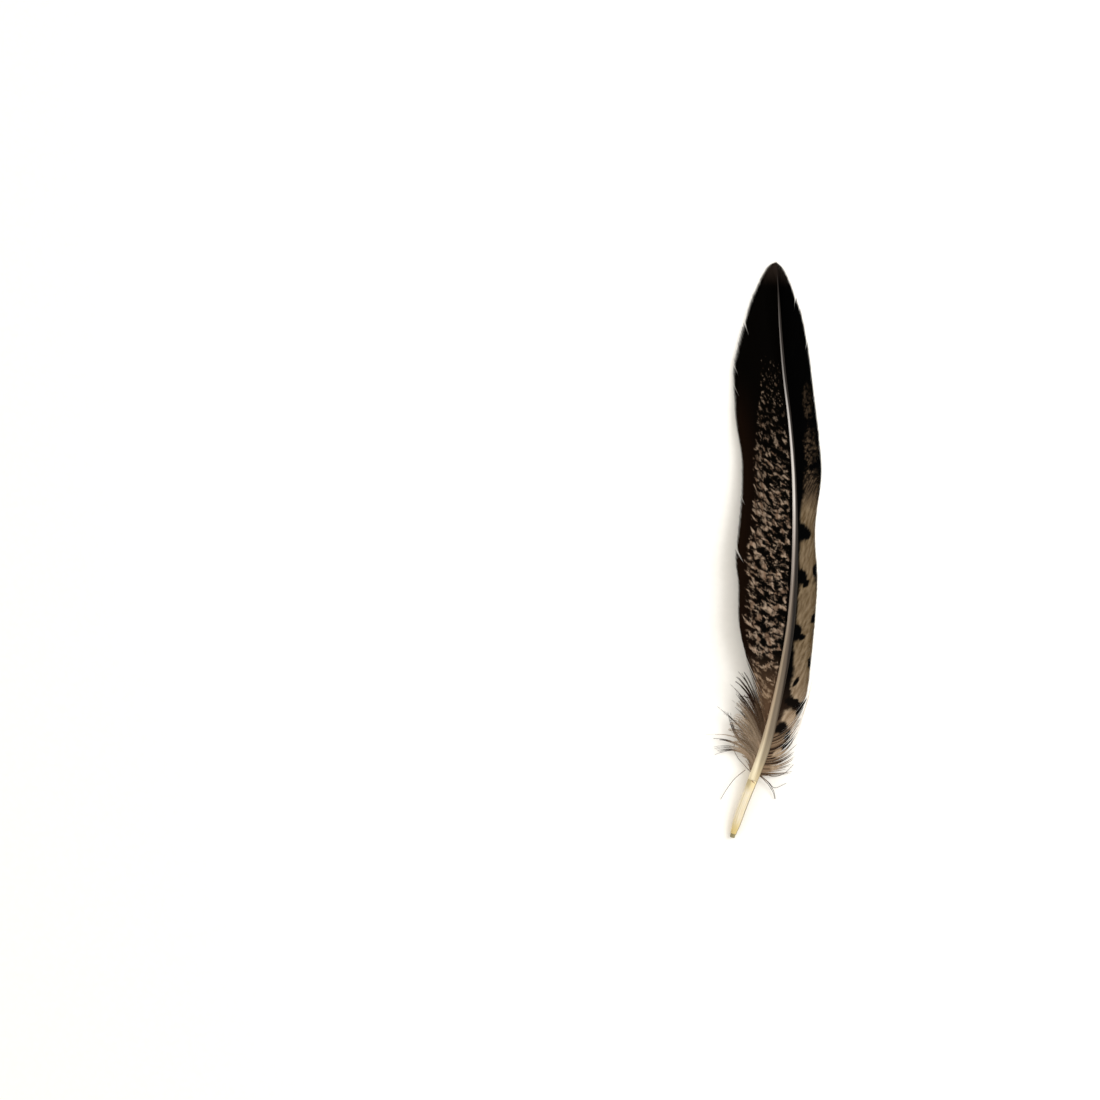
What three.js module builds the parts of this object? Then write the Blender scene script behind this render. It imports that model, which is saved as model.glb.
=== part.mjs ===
// An uncut quill feather: the whole wing feather of a game bird, as a quill pen is made from.
// It lies on a flat surface with its back up. It touches the surface with the end of its quill,
// the tip of its vane and the edge of its narrow, leading vane. The lower part of the broad
// trailing vane stands clear.
//
// Millimetres. The origin is the middle of the quill's end face. +Y runs straight from there to the
// tip of the vane, +X points towards the leading vane, and +Z up, out of the feather's back.
// A "station" is a distance along +Y from the quill's end.

import * as THREE from 'three';

// Lengths along the feather.
const VANE_TIP = 192.7;
const QUILL_TOP = 20;
const RACHIS_TIP = 187;
const PITH_TIP = 148;

// Play between pieces that grow together on the real feather.
const SEAM = 0.12;
const TRACT_GAP = 0.4;

// The bare quill: [distance along its axis, outside radius].
const QUILL_WALL = 0.36;
const QUILL_RADII = [
  [1.35, 0.96], [3, 1.16], [5, 1.37], [8, 1.5], [12, 1.54], [15, 1.56], [18.5, 1.6], [20.8, 1.66],
];
const END_BUTTON = { radius: 0.84, length: 1.25, chamfer: 0.14, neck: 0.48, neckLength: 1.0 };
const PULP_CAPS = { count: 6, first: 5.5, spacing: 2.3, radius: 0.95, rise: 0.75, thickness: 0.16 };
const TOP_PLUG_LENGTH = 0.9;

// The shaft's middle line seen from above, its height over the surface, and its width and depth.
const shaftX = smooth([
  [0, 0], [10, 2.4], [20, 5.35], [30, 8.15], [40, 10.05], [54, 12.1], [70, 13.6], [82, 13.85],
  [95, 13.4], [110, 12.3], [125, 10.7], [140, 8.4], [155, 5.5], [170, 3.1], [183, 1.4], [VANE_TIP, 0],
]);
const shaftZ = smooth([
  [0, 0.95], [10, 1.85], [20, 2.75], [35, 3.6], [60, 4.3], [90, 4.5], [120, 3.9], [150, 2.5],
  [175, 1.05], [RACHIS_TIP, 0.55], [VANE_TIP, 0.25],
]);
const shaftWidth = smooth([
  [QUILL_TOP, 3.3], [32, 3.65], [42, 3.45], [60, 3.0], [80, 2.6], [100, 2.0], [120, 1.5],
  [160, 1.15], [175, 0.85], [183, 0.5], [RACHIS_TIP, 0.3],
]);
const DEPTH_TO_WIDTH = smooth([[QUILL_TOP, 1], [40, 0.88], [80, 0.98], [120, 1.1], [RACHIS_TIP, 1.1]]);
const CORTEX_WALL = smooth([[QUILL_TOP, 0.45], [60, 0.38], [PITH_TIP, 0.26]]);
const GROOVE = { deep: 0.24, wide: 0.4 };
const SECTION_SQUARENESS = 0.82;

// How far a barb climbs from its root to its tip, the vane's outline, and the outline's height.
const LEADING = {
  name: 'leading',
  sign: 1,
  tracts: 14,
  firstRoot: 21.5,
  crown: 0.5,
  climb: smooth([[21.5, 1], [25, 4], [30, 8], [40, 11], [55, 12], [80, 14], [120, 17], [150, 22], [170, 18],
    [RACHIS_TIP, 5.4]]),
  edgeX: smooth([[22, 17.2], [27, 17.8], [34, 18.3], [41, 19.5], [48, 20.9], [61, 21.5], [75, 21.8], [88, 21.5],
    [101, 19.8], [108, 19.6], [122, 20.2], [135, 18.4], [148, 15.8], [161, 13.2], [174, 9.8], [180, 7.2],
    [186, 4.6], [190, 2.3], [VANE_TIP, 0]]),
  edgeZ: smooth([[20, 1.4], [45, 0.5], [62, 0.14], [110, 0.14], [150, 0.22], [VANE_TIP, 0.2]]),
};
const TRAILING = {
  name: 'trailing',
  sign: -1,
  tracts: 15,
  firstRoot: 38,
  crown: 0.7,
  climb: smooth([[38, 14.5], [45, 17], [60, 21], [80, 24], [120, 30], [150, 31], [170, 19.5], [RACHIS_TIP, 5.4]]),
  edgeX: smooth([[45, 4.6], [52, 2.6], [60, -0.2], [72, -3.7], [85, -4.8], [93, -6.2], [112, -5.8], [126, -6.6],
    [139, -9.5], [149, -10.8], [156, -11.5], [163, -10.8], [172.5, -8.9], [179, -7.4], [185.5, -5.2],
    [189.6, -3.4], [191.4, -2.2], [192.5, -0.9], [VANE_TIP, 0]]),
  edgeZ: smooth([[25, 3.6], [45, 5.8], [62, 6.8], [80, 6.5], [95, 5.6], [113, 4.2], [130, 2.7], [150, 1.4],
    [175, 0.6], [VANE_TIP, 0.25]]),
};
const BARB_BEND = { out: 0.56, up: 0.42 };
const TRACT_THICKNESS = { root: 0.55, edge: 0.24 };
const TRACT_STEPS = { across: 3, along: 6 };

// Down at the foot of the trailing vane: the stations of a tuft's roots, and its two outer tips.
const DOWN_THICKNESS = { root: 0.9, edge: 0.5 };
const DOWN_TUFTS = [
  { roots: [21.5, 23.7], tips: [[1.2, 22.0, 2.1], [0.2, 24.6, 1.8]] },
  { roots: [23.9, 26.4], tips: [[-8.4, 27.9, 1.5], [-7.2, 31, 2]] },
  { roots: [26.6, 29.4], tips: [[-10.6, 33.6, 2.6], [-6.5, 37.5, 3.2]] },
  { roots: [29.6, 32.4], tips: [[-7.6, 43, 3.6], [-4.4, 44.5, 4.2]] },
  { roots: [32.6, 35.2], tips: [[-5, 48.5, 4.4], [-3.6, 51.4, 4.8]] },
  { roots: [35.4, 37.7], tips: [[-3.2, 52.5, 5], [-2, 55, 5.4]] },
];

const HORN = { color: 0xe9dcb8, roughness: 0.35, metalness: 0 };
const SHAFT = { color: 0xb9ab98, roughness: 0.4, metalness: 0 };
const PITH = { color: 0xf2ede0, roughness: 0.9, metalness: 0 };
const PULP = { color: 0x9a7f58, roughness: 0.7, metalness: 0 };
const LEADING_BARBS = { color: 0x6e5f45, roughness: 0.6, metalness: 0 };
const TRAILING_BARBS = { color: 0x2c231b, roughness: 0.6, metalness: 0 };
const DOWN = { color: 0x857564, roughness: 0.95, metalness: 0 };

// A smooth value through a few [station, value] points, carried straight on past both ends.
function smooth(points) {
  const last = points.length - 1;
  const slopes = points.map((point, i) => {
    const before = points[Math.max(i - 1, 0)];
    const after = points[Math.min(i + 1, last)];
    return (after[1] - before[1]) / (after[0] - before[0]);
  });
  return (station) => {
    if (station <= points[0][0]) return points[0][1] + slopes[0] * (station - points[0][0]);
    if (station >= points[last][0]) return points[last][1] + slopes[last] * (station - points[last][0]);
    const i = points.findIndex((point) => point[0] > station) - 1;
    const span = points[i + 1][0] - points[i][0];
    const t = (station - points[i][0]) / span;
    const rise = points[i + 1][1] - points[i][1];
    const bulge = (slopes[i] * span - rise) * (1 - t) + (rise - slopes[i + 1] * span) * t;
    return points[i][1] + rise * t + bulge * t * (1 - t);
  };
}

const mix = THREE.MathUtils.lerp;

// A closed body from rings of points or from two skins, turned so that its faces point out.
function closedBody(positions, triangles) {
  let volume = 0;
  const corner = (i) => new THREE.Vector3().fromArray(positions, 3 * i);
  for (let i = 0; i < triangles.length; i += 3) {
    const [a, b, c] = [corner(triangles[i]), corner(triangles[i + 1]), corner(triangles[i + 2])];
    volume += a.dot(b.cross(c));
  }
  const geometry = new THREE.BufferGeometry();
  geometry.setAttribute('position', new THREE.Float32BufferAttribute(positions, 3));
  geometry.setIndex(volume > 0 ? triangles : triangles.toReversed());
  geometry.computeVertexNormals();
  return geometry;
}

// Joins rings of equal count end to end, and fills the first and last ring with a fan.
function loft(rings) {
  const sides = rings[0].length;
  const positions = rings.flat().flatMap((point) => point.toArray());
  const triangles = [];
  for (let ring = 0; ring + 1 < rings.length; ring++) {
    for (let side = 0; side < sides; side++) {
      const here = ring * sides + side;
      const next = ring * sides + ((side + 1) % sides);
      triangles.push(here, next, next + sides, here, next + sides, here + sides);
    }
  }
  const last = (rings.length - 1) * sides;
  for (let side = 1; side + 1 < sides; side++) {
    triangles.push(0, side + 1, side, last, last + side, last + side + 1);
  }
  return closedBody(positions, triangles);
}

// A thin plate over a grid of middle points, with half its thickness above them and half below.
function plate(grid, thickness) {
  const columns = grid[0].length;
  const last = { row: grid.length - 1, column: columns - 1 };
  const positions = [];
  for (const face of [0.5, -0.5]) {
    for (const row of grid) {
      row.forEach((point, column) => {
        const lift = face * mix(thickness.root, thickness.edge, column / last.column);
        positions.push(point.x, point.y, point.z + lift);
      });
    }
  }
  const under = grid.length * columns;
  const triangles = [];
  const quad = (a, b, c, d) => triangles.push(a, b, c, a, c, d);
  for (let row = 0; row < last.row; row++) {
    for (let column = 0; column < last.column; column++) {
      const at = row * columns + column;
      quad(at, at + 1, at + columns + 1, at + columns);
      quad(under + at, under + at + columns, under + at + columns + 1, under + at + 1);
    }
  }
  for (let column = 0; column < last.column; column++) {
    const far = last.row * columns + column;
    quad(column, under + column, under + column + 1, column + 1);
    quad(far, far + 1, under + far + 1, under + far);
  }
  for (let row = 0; row < last.row; row++) {
    const root = row * columns;
    const edge = root + last.column;
    quad(root, root + columns, under + root + columns, under + root);
    quad(edge, under + edge, under + edge + columns, edge + columns);
  }
  return closedBody(positions, triangles);
}

// The shaft's middle at a station, its direction, and the half width that it takes up along X.
function shaftPoint(station) {
  return new THREE.Vector3(shaftX(station), station, shaftZ(station));
}

function shaftDirection(station) {
  const step = 0.5;
  return shaftPoint(station + step).sub(shaftPoint(station - step)).normalize();
}

function shaftHalfWidthAlongX(station) {
  return shaftWidth(Math.min(station, RACHIS_TIP)) / 2 / shaftDirection(station).y;
}

// One ring of the rachis, shrunk by inset: a rounded square with a groove along its underside.
function rachisRing(station, inset, sides) {
  const along = shaftDirection(station);
  const across = new THREE.Vector3(along.y, -along.x, 0).normalize();
  const up = across.clone().cross(along);
  const halfWidth = shaftWidth(station) / 2 - inset;
  const halfDepth = (shaftWidth(station) * DEPTH_TO_WIDTH(station)) / 2 - inset;
  const ring = [];
  for (let i = 0; i < sides; i++) {
    const angle = (2 * Math.PI * i) / sides;
    const out = Math.sign(Math.cos(angle)) * Math.abs(Math.cos(angle)) ** SECTION_SQUARENESS;
    const rise = Math.sign(Math.sin(angle)) * Math.abs(Math.sin(angle)) ** SECTION_SQUARENESS;
    const groove = rise < 0 ? GROOVE.deep * Math.exp(-((out / GROOVE.wide) ** 2)) : 0;
    ring.push(shaftPoint(station)
      .addScaledVector(across, out * halfWidth)
      .addScaledVector(up, rise * (1 - groove) * halfDepth));
  }
  return ring;
}

function stations(from, to, count) {
  return Array.from({ length: count }, (_, i) => mix(from, to, i / (count - 1)));
}

// The horn skin of the rachis: down the wall of the pith's bore to the open foot, and up the outside.
function rachisCortex() {
  const foot = QUILL_TOP + SEAM;
  const bore = stations(PITH_TIP + 1, foot, 13).map((station) => rachisRing(station, CORTEX_WALL(station), 12));
  const outside = stations(foot, RACHIS_TIP, 20).map((station) => rachisRing(station, 0, 12));
  return loft([...bore, ...outside]);
}

// The white pith inside the rachis.
function rachisPith() {
  const rings = stations(QUILL_TOP + 0.4, PITH_TIP, 14)
    .map((station) => rachisRing(station, CORTEX_WALL(station) + SEAM, 8));
  return loft(rings);
}

// The quill's pieces are turned about its straight axis: a profile is a list of [radius, distance].
const quillFoot = shaftPoint(0);
const quillAxis = shaftPoint(QUILL_TOP).sub(quillFoot);
const quillLength = quillAxis.length();
quillAxis.normalize();

function turned(profile, sides) {
  const points = profile.map(([radius, distance]) => new THREE.Vector2(radius, distance));
  const geometry = new THREE.LatheGeometry(points, sides);
  return closedBody([...geometry.attributes.position.array], [...geometry.index.array]);
}

function quillBarrel() {
  const outside = QUILL_RADII.map(([distance, radius]) => [radius, Math.min(distance, quillLength - SEAM)]);
  const inside = outside.map(([radius, distance]) => [radius - QUILL_WALL, distance]).reverse();
  return turned([...outside, ...inside, outside[0]], 16);
}

function endButton() {
  const { radius, length, chamfer, neck, neckLength } = END_BUTTON;
  return turned([[0, 0], [radius - chamfer, 0], [radius, chamfer], [radius, length], [neck, length],
    [neck, length + neckLength], [0, length + neckLength]], 16);
}

function topPlug() {
  const radius = QUILL_RADII.at(-1)[1] - QUILL_WALL - 2 * SEAM;
  const top = quillLength - SEAM;
  const foot = top - TOP_PLUG_LENGTH;
  return turned([[0, foot], [radius * 0.9, foot], [radius, top], [0, top]], 12);
}

function pulpCap(distance) {
  const { radius, rise, thickness } = PULP_CAPS;
  const dome = [0, 0.5, 0.85, 1].map((part) => [part * radius, distance + rise * (1 - part ** 2)]);
  const under = dome.map(([r, d]) => [r * (1 - thickness / radius), d - thickness]).reverse();
  return turned([...dome, ...under], 10);
}

// Where the barbs leave the shaft, and how high the vane stands over the surface.
function rootX(side, station) {
  return shaftX(station) + side.sign * (shaftHalfWidthAlongX(station) + SEAM);
}

function vaneHeight(side, x, station) {
  const root = rootX(side, station);
  const width = Math.max(Math.abs(side.edgeX(station) - root), 0.4);
  const out = THREE.MathUtils.clamp(Math.abs(x - root) / width, 0, 1);
  const atShaft = shaftZ(station) + 0.12 * shaftWidth(Math.min(station, RACHIS_TIP));
  return mix(atShaft, side.edgeZ(station), out) + side.crown * out * (1 - out);
}

// The way from a root to a tip: out from the shaft first, then bending towards the feather's tip.
function barbLine(root, tip, steps) {
  const bend = new THREE.Vector3(
    mix(root.x, tip.x, BARB_BEND.out),
    mix(root.y, tip.y, BARB_BEND.up),
    mix(root.z, tip.z, BARB_BEND.out),
  );
  return new THREE.QuadraticBezierCurve3(root, bend, tip).getPoints(steps);
}

// A tract is a strip of barbs that hook together, from one barb's line to another's.
function barbTract(side, from, to) {
  const grid = stations(from, to, TRACT_STEPS.across + 1).map((station) => {
    const tipStation = station + side.climb(station);
    const root = new THREE.Vector3(rootX(side, station), station, 0);
    const tip = new THREE.Vector3(side.edgeX(tipStation), tipStation, 0);
    const line = barbLine(root, tip, TRACT_STEPS.along);
    line.forEach((point) => point.setZ(vaneHeight(side, point.x, point.y)));
    return line;
  });
  return plate(grid, TRACT_THICKNESS);
}

function downTuft({ roots, tips }) {
  const grid = stations(0, 1, 3).map((part) => {
    const station = mix(roots[0], roots[1], part);
    const root = new THREE.Vector3(rootX(TRAILING, station), station, shaftZ(station));
    const tip = new THREE.Vector3(...tips[0]).lerp(new THREE.Vector3(...tips[1]), part);
    return barbLine(root, tip, 5);
  });
  return plate(grid, DOWN_THICKNESS);
}

const feather = new THREE.Group();
feather.position.z = -quillFoot.z;

function add(name, geometry, look, parent = feather) {
  const mesh = new THREE.Mesh(geometry, new THREE.MeshStandardMaterial(look));
  mesh.name = name;
  parent.add(mesh);
  return mesh;
}

const quill = new THREE.Group();
quill.position.copy(quillFoot);
quill.quaternion.setFromUnitVectors(new THREE.Vector3(0, 1, 0), quillAxis);
feather.add(quill);
add('calamus_barrel', quillBarrel(), HORN, quill);
add('inferior_umbilicus_button', endButton(), PULP, quill);
add('superior_umbilicus_plug', topPlug(), PULP, quill);
for (let i = 0; i < PULP_CAPS.count; i++) {
  add(`pulp_cap_${i + 1}`, pulpCap(PULP_CAPS.first + i * PULP_CAPS.spacing), PULP, quill);
}

add('rachis_cortex', rachisCortex(), SHAFT);
add('rachis_pith', rachisPith(), PITH);

for (const side of [LEADING, TRAILING]) {
  const edges = stations(side.firstRoot, RACHIS_TIP, side.tracts + 1);
  for (let i = 0; i < side.tracts; i++) {
    const number = String(i + 1).padStart(2, '0');
    const tract = barbTract(side, edges[i] + TRACT_GAP / 2, edges[i + 1] - TRACT_GAP / 2);
    add(`${side.name}_barbs_${number}`, tract, side === LEADING ? LEADING_BARBS : TRAILING_BARBS);
  }
}

DOWN_TUFTS.forEach((tuft, i) => add(`down_tuft_${i + 1}`, downTuft(tuft), DOWN));

export default feather;
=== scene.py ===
"""An uncut wing quill of a game bird, lying back up on white. Every barb is a body of its own.

Sizes are in millimetres, as in the part, until a mesh is made. A station is a distance along +Y from the
quill's end face. Heights are over the surface that the feather lies on.
"""
import math

import bpy
import numpy as np
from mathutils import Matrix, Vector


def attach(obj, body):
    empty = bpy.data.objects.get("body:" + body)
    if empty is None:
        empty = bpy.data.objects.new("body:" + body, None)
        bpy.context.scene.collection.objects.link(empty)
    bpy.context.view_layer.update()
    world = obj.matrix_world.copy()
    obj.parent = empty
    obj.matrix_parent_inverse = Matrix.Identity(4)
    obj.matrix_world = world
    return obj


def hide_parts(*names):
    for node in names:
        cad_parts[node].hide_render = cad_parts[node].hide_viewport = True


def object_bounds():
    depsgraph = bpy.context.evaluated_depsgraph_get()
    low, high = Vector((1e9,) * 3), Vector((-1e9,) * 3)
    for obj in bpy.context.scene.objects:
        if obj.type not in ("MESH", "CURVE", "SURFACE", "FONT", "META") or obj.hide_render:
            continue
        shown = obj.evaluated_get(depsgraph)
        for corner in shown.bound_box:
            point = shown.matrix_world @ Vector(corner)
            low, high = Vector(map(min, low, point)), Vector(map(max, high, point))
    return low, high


MM = 0.001
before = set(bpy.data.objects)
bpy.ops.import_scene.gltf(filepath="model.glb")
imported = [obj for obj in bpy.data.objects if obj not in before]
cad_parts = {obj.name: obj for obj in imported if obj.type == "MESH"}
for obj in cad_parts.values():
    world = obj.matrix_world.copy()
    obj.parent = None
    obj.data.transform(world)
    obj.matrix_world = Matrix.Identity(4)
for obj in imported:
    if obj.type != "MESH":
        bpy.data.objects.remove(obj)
cad_box = [list(corner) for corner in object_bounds()]
chance = np.random.default_rng(11)


def smooth(points):
    """A smooth value through a few (station, value) points, carried straight on past both ends."""
    at, value = np.array(points, float).T
    last = len(at) - 1
    before = np.maximum(np.arange(len(at)) - 1, 0)
    after = np.minimum(np.arange(len(at)) + 1, last)
    slope = (value[after] - value[before]) / (at[after] - at[before])

    def read(station):
        station = np.asarray(station, float)
        i = np.clip(np.searchsorted(at, station, side="right") - 1, 0, last - 1)
        span = at[i + 1] - at[i]
        t = (station - at[i]) / span
        rise = value[i + 1] - value[i]
        bulge = (slope[i] * span - rise) * (1 - t) + (rise - slope[i + 1] * span) * t
        inside = value[i] + rise * t + bulge * t * (1 - t)
        below = value[0] + slope[0] * (station - at[0])
        above = value[last] + slope[last] * (station - at[last])
        return np.where(station < at[0], below, np.where(station > at[last], above, inside))

    return read


# ---------------------------------------------------------------------------------------------
# The feather's driving lines: the same as the part's
# ---------------------------------------------------------------------------------------------
VANE_TIP = 192.7
QUILL_TOP = 20
RACHIS_TIP = 187

shaft_x = smooth([
    (0, 0), (10, 2.4), (20, 5.35), (30, 8.15), (40, 10.05), (54, 12.1), (70, 13.6), (82, 13.85),
    (95, 13.4), (110, 12.3), (125, 10.7), (140, 8.4), (155, 5.5), (170, 3.1), (183, 1.4), (VANE_TIP, 0),
])
shaft_z = smooth([
    (0, 0.95), (10, 1.85), (20, 2.75), (35, 3.6), (60, 4.3), (90, 4.5), (120, 3.9), (150, 2.5),
    (175, 1.05), (RACHIS_TIP, 0.55), (VANE_TIP, 0.25),
])
shaft_width = smooth([
    (QUILL_TOP, 3.3), (32, 3.65), (42, 3.45), (60, 3.0), (80, 2.6), (100, 2.0), (120, 1.5),
    (160, 1.15), (175, 0.85), (183, 0.5), (RACHIS_TIP, 0.3),
])
depth_to_width = smooth([(QUILL_TOP, 1), (40, 0.88), (80, 0.98), (120, 1.1), (RACHIS_TIP, 1.1)])


class Side:
    """One vane: its way from the shaft, how far its barbs climb, its outline, and its outline's height."""

    def __init__(self, name, sign, tracts, first_root, crown, climb, edge_x, edge_z, partings, web, bend_up,
                 reach):
        self.name = name
        self.sign = sign
        self.tracts = tracts
        self.first_root = first_root
        self.crown = crown
        self.climb = smooth(climb)
        self.edge_x = smooth(edge_x)
        self.edge_z = smooth(edge_z)
        self.partings = partings
        self.web = smooth(web)
        self.bend_up = smooth(bend_up)
        self.reach = reach


LEADING = Side(
    "leading", 1, 14, 21.5, 0.5,
    climb=[(21.5, 1), (25, 4), (30, 8), (40, 11), (55, 12), (80, 14), (120, 17), (150, 22), (170, 18),
           (RACHIS_TIP, 5.4)],
    edge_x=[(22, 17.2), (27, 17.8), (34, 18.3), (41, 19.5), (48, 20.9), (61, 21.5), (75, 21.8), (88, 21.5),
            (101, 19.8), (108, 19.6), (122, 20.2), (135, 18.4), (148, 15.8), (161, 13.2), (174, 9.8),
            (180, 7.2), (186, 4.6), (190, 2.3), (VANE_TIP, 0)],
    edge_z=[(20, 1.4), (45, 0.5), (62, 0.14), (110, 0.14), (150, 0.22), (VANE_TIP, 0.2)],
    # Root station, opening at the edge, and the part of the barb where it begins.
    partings=[(158.5, 0.4, 0.8), (144, 0.35, 0.85), (96, 0.2, 0.85), (37.5, 0.5, 0.6), (33, 0.8, 0.5),
              (29.5, 0.9, 0.4), (26.8, 1.0, 0.4), (24.2, 0.9, 0.4)],
    # How much of the space to the next barb the hooked barbules fill at the edge, by root station.
    web=[(21.5, 0.12), (27, 0.22), (31, 0.5), (37, 0.9), (45, 1.0), (RACHIS_TIP, 1.0)],
    # How far up its way a barb bends: a low bend makes it curl up at its tip.
    bend_up=[(21.5, -0.15), (30, 0.1), (42, 0.34), (55, 0.42), (RACHIS_TIP, 0.42)],
    reach=1.06,
)
TRAILING = Side(
    "trailing", -1, 15, 38, 0.7,
    climb=[(38, 14.5), (45, 17), (60, 21), (80, 24), (120, 30), (150, 31), (170, 19.5), (RACHIS_TIP, 5.4)],
    edge_x=[(45, 4.6), (52, 2.6), (60, -0.2), (72, -3.7), (85, -4.8), (93, -6.2), (112, -5.8), (126, -6.6),
            (139, -9.5), (149, -10.8), (156, -11.5), (163, -10.8), (172.5, -8.9), (179, -7.4), (185.5, -5.2),
            (189.6, -3.4), (191.4, -2.2), (192.5, -0.9), (VANE_TIP, 0)],
    edge_z=[(25, 3.6), (45, 5.8), (62, 6.8), (80, 6.5), (95, 5.6), (113, 4.2), (130, 2.7), (150, 1.4),
            (175, 0.6), (VANE_TIP, 0.25)],
    partings=[(140, 0.6, 0.86), (126.5, 0.3, 0.85), (120.3, 0.25, 0.85), (73, 0.8, 0.8), (88, 0.25, 0.85)],
    web=[(38, 0.55), (43, 0.85), (48, 1.0), (RACHIS_TIP, 1.0)],
    bend_up=[(38, 0.62), (50, 0.46), (70, 0.4), (RACHIS_TIP, 0.42)],
    reach=1.01,
)
# How far out on its way a barb bends, and how deep its root sits in the shaft.
BEND_OUT = 0.56
ROOT_SINK = 0.2


def lerp(low, high, part):
    return low + (high - low) * part


def unit(vectors):
    return vectors / np.maximum(np.linalg.norm(vectors, axis=-1, keepdims=True), 1e-9)


def root_x(side, station):
    slope = shaft_x(station + 0.5) - shaft_x(station - 0.5)
    half = shaft_width(np.minimum(station, RACHIS_TIP)) / 2 * np.sqrt(1 + slope**2)
    past_shaft = np.clip((station - RACHIS_TIP + 1.5) / 2, 0, 1)
    return shaft_x(station) + side.sign * lerp(half, -0.25, past_shaft)


def across_part(side, x, station):
    """0 where the vane leaves the shaft, and 1 at its outline."""
    root = root_x(side, station)
    width = np.maximum(np.abs(side.edge_x(station) - root), 0.4)
    return np.clip((x - root) * side.sign / width, 0, 1)


def vane_height(side, x, station):
    out = across_part(side, x, station)
    at_shaft = shaft_z(station) + 0.12 * shaft_width(np.minimum(station, RACHIS_TIP))
    return lerp(at_shaft, side.edge_z(station), out) + side.crown * out * (1 - out)


# ---------------------------------------------------------------------------------------------
# Meshes
# ---------------------------------------------------------------------------------------------
def closed_bodies(rings):
    """Points and faces of closed bodies from rings[body, step, corner, xyz], with a cap at both ends."""
    bodies, steps, corners, _ = rings.shape
    index = np.arange(bodies * steps * corners).reshape(bodies, steps, corners)
    here = index[:, :-1]
    there = index[:, 1:]
    quads = np.stack([here, np.roll(here, -1, 2), np.roll(there, -1, 2), there], -1).reshape(-1, 4)
    return rings.reshape(-1, 3), quads.tolist() + index[:, 0, ::-1].tolist() + index[:, -1].tolist()


def make_piece(name, points, faces, material, nodes, attributes=(), smooth_shaded=False):
    """A piece of the feather from points in millimetres, with named vectors on its points for its finish."""
    placed = (np.asarray(points) - (0, 0, float(shaft_z(0)))) * MM
    mesh = bpy.data.meshes.new(name)
    mesh.from_pydata(placed.tolist(), [], faces)
    for label, values in dict(attributes).items():
        layer = mesh.attributes.new(label, "FLOAT_VECTOR", "POINT")
        layer.data.foreach_set("vector", np.asarray(values, np.float32).ravel())
    mesh.materials.append(material)
    mesh.polygons.foreach_set("use_smooth", [smooth_shaded] * len(mesh.polygons))
    mesh.update()
    piece = bpy.data.objects.new(name, mesh)
    bpy.context.scene.collection.objects.link(piece)
    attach(piece, "root")
    if nodes:
        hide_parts(*nodes)


# ---------------------------------------------------------------------------------------------
# Finishes
# ---------------------------------------------------------------------------------------------
def rgb(red, green, blue):
    """A screen colour, 0 to 255, as the linear colour that a shader takes."""
    channels = np.array([red, green, blue]) / 255
    linear = np.where(channels <= 0.04045, channels / 12.92, ((channels + 0.055) / 1.055) ** 2.4)
    return (*linear, 1)


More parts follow.
